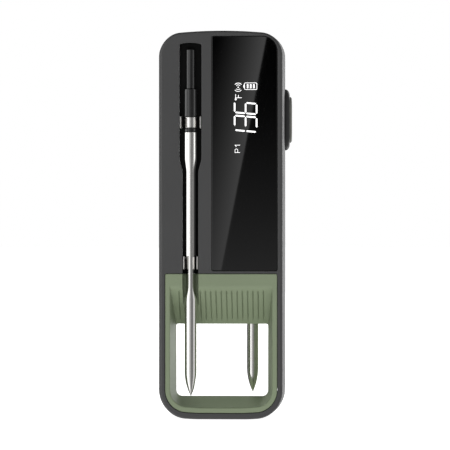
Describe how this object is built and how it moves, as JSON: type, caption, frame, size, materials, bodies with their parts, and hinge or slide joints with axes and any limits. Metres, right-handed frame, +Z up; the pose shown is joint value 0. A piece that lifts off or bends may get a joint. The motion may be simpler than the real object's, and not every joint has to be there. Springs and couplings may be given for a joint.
{
  "type": "meat thermometer",
  "caption": "Upright charging dock with black glass display, see-through ribbed thumb window and side button, holding a wireless meat probe in its front slot and one in its rear slot.",
  "frame": {"origin": "middle of the dock's flat foot, on the surface that it stands on, in the plane midway between its front and rear faces", "axes": "+Z up along the dock, -Y out of the front face with the display, +X to the viewer's right, out of the side with the button"},
  "size_m": [0.0527, 0.027, 0.152],
  "materials": {
    "dark_grey_plastic": "fine matte moulded plastic",
    "sage_plastic": "matte moulded plastic, sage green",
    "black_plastic": "matte black moulded plastic",
    "black_rubber": "matte elastomer",
    "probe_ceramic": "glossy black",
    "display_glass": "mirror-smooth black panel, back printed black",
    "polished_steel": "polished stainless steel",
    "nickel_plate": "nickel plate",
    "contact_plate": "bright spring steel",
    "cell_foil": "satin foil",
    "circuit_board": "solder mask",
    "button_rubber": "matte olive grey elastomer"
  },
  "bodies": {
    "dock": {"front_housing": "dark_grey_plastic", "rear_housing": "dark_grey_plastic", "front_window_insert": "sage_plastic", "rear_window_insert": "sage_plastic", "display_glass": "display_glass", "display_module": "circuit_board", "front_probe_tray": "black_plastic", "rear_probe_tray": "black_plastic", "front_upper_contact": "contact_plate", "front_lower_contact": "contact_plate", "rear_upper_contact": "contact_plate", "rear_lower_contact": "contact_plate", "main_circuit_board": "circuit_board", "battery_cell": "cell_foil", "buzzer": "black_plastic", "usb_c_socket": "nickel_plate", "tactile_switch": "black_plastic", "magnet_1": "nickel_plate", "magnet_2": "nickel_plate", "rear_grip_pad": "black_rubber", "housing_screw_1": "nickel_plate", "housing_screw_2": "nickel_plate", "housing_screw_3": "nickel_plate", "housing_screw_4": "nickel_plate", "button_bezel": "dark_grey_plastic"},
    "side_button": {"button_cap": "button_rubber", "button_plunger": "button_rubber"},
    "front_probe": {"front_probe_cap": "probe_ceramic", "front_probe_collar": "probe_ceramic", "front_probe_charge_ring": "polished_steel", "front_probe_insulator": "probe_ceramic", "front_probe_shaft": "polished_steel", "front_probe_tip": "polished_steel", "front_probe_cell": "cell_foil", "front_probe_sensor_board": "circuit_board"},
    "rear_probe": {"rear_probe_cap": "probe_ceramic", "rear_probe_collar": "probe_ceramic", "rear_probe_charge_ring": "polished_steel", "rear_probe_insulator": "probe_ceramic", "rear_probe_shaft": "polished_steel", "rear_probe_tip": "polished_steel", "rear_probe_cell": "cell_foil", "rear_probe_sensor_board": "circuit_board"}
  },
  "joints": [
    {"name": "front_probe_release", "type": "slide", "parent": "dock", "child": "front_probe", "axis": [0, -1, 0], "range_m": [0, 0.04]},
    {"name": "rear_probe_release", "type": "slide", "parent": "dock", "child": "rear_probe", "axis": [0, 1, 0], "range_m": [0, 0.04]},
    {"name": "button_press", "type": "slide", "parent": "dock", "child": "side_button", "axis": [-1, 0, 0], "range_m": [0, 0.0008], "stiffness_N_per_m": 1500}
  ]
}
